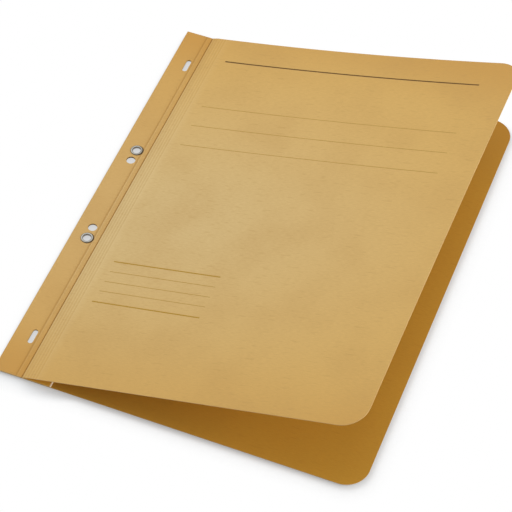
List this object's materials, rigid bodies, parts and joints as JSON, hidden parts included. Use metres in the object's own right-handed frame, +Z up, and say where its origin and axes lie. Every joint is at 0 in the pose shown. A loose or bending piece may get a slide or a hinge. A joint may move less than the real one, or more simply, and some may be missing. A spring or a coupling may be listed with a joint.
{
  "type": "fastener folder",
  "caption": "Card filing folder with a punched and eyeleted spine, a sprung front cover and an inner prong fastener for loose papers.",
  "frame": {"origin": "on the table, under the middle of the folder's outline with the front cover sprung part way open", "axes": "+X from the folded spine edge to the free edges, +Y along the spine to the head, +Z up out of the back panel"},
  "size_m": [0.239, 0.308, 0.0654],
  "materials": {
    "card_outside": "uncoated buff manila card, lit outer face",
    "card_inside": "uncoated buff manila card, deeper inner face",
    "nickel": "nickel-plated, polished, rolled edge",
    "tin": "tin-plated sheet steel, satin"
  },
  "bodies": {
    "spine": {"spine_rear_strip": "card_outside", "spine_front_strip": "card_outside", "filing_strip": "card_inside", "prong_strip": "tin", "compressor_bar": "tin", "upper_eyelet": "nickel", "lower_eyelet": "nickel"},
    "back": {"back_panel": "card_inside"},
    "cover": {"front_cover": "card_outside"},
    "upper_slide": {"upper_lock": "tin"},
    "lower_slide": {"lower_lock": "tin"}
  },
  "joints": [
    {"name": "cover_crease", "type": "hinge", "parent": "spine", "child": "cover", "pos_m": [-0.0965, 0, 0.00273], "axis": [0, -1, 0], "range_deg": [-14, 157.5]},
    {"name": "back_crease", "type": "hinge", "parent": "spine", "child": "back", "pos_m": [-0.1005, 0, 0], "axis": [0, 1, 0], "range_deg": [0, 120]},
    {"name": "upper_lock_slide", "type": "slide", "parent": "spine", "child": "upper_slide", "axis": [0, 1, 0], "range_m": [-0.0105, 0.016]},
    {"name": "lower_lock_slide", "type": "slide", "parent": "spine", "child": "lower_slide", "axis": [0, -1, 0], "range_m": [-0.0105, 0.016]}
  ]
}
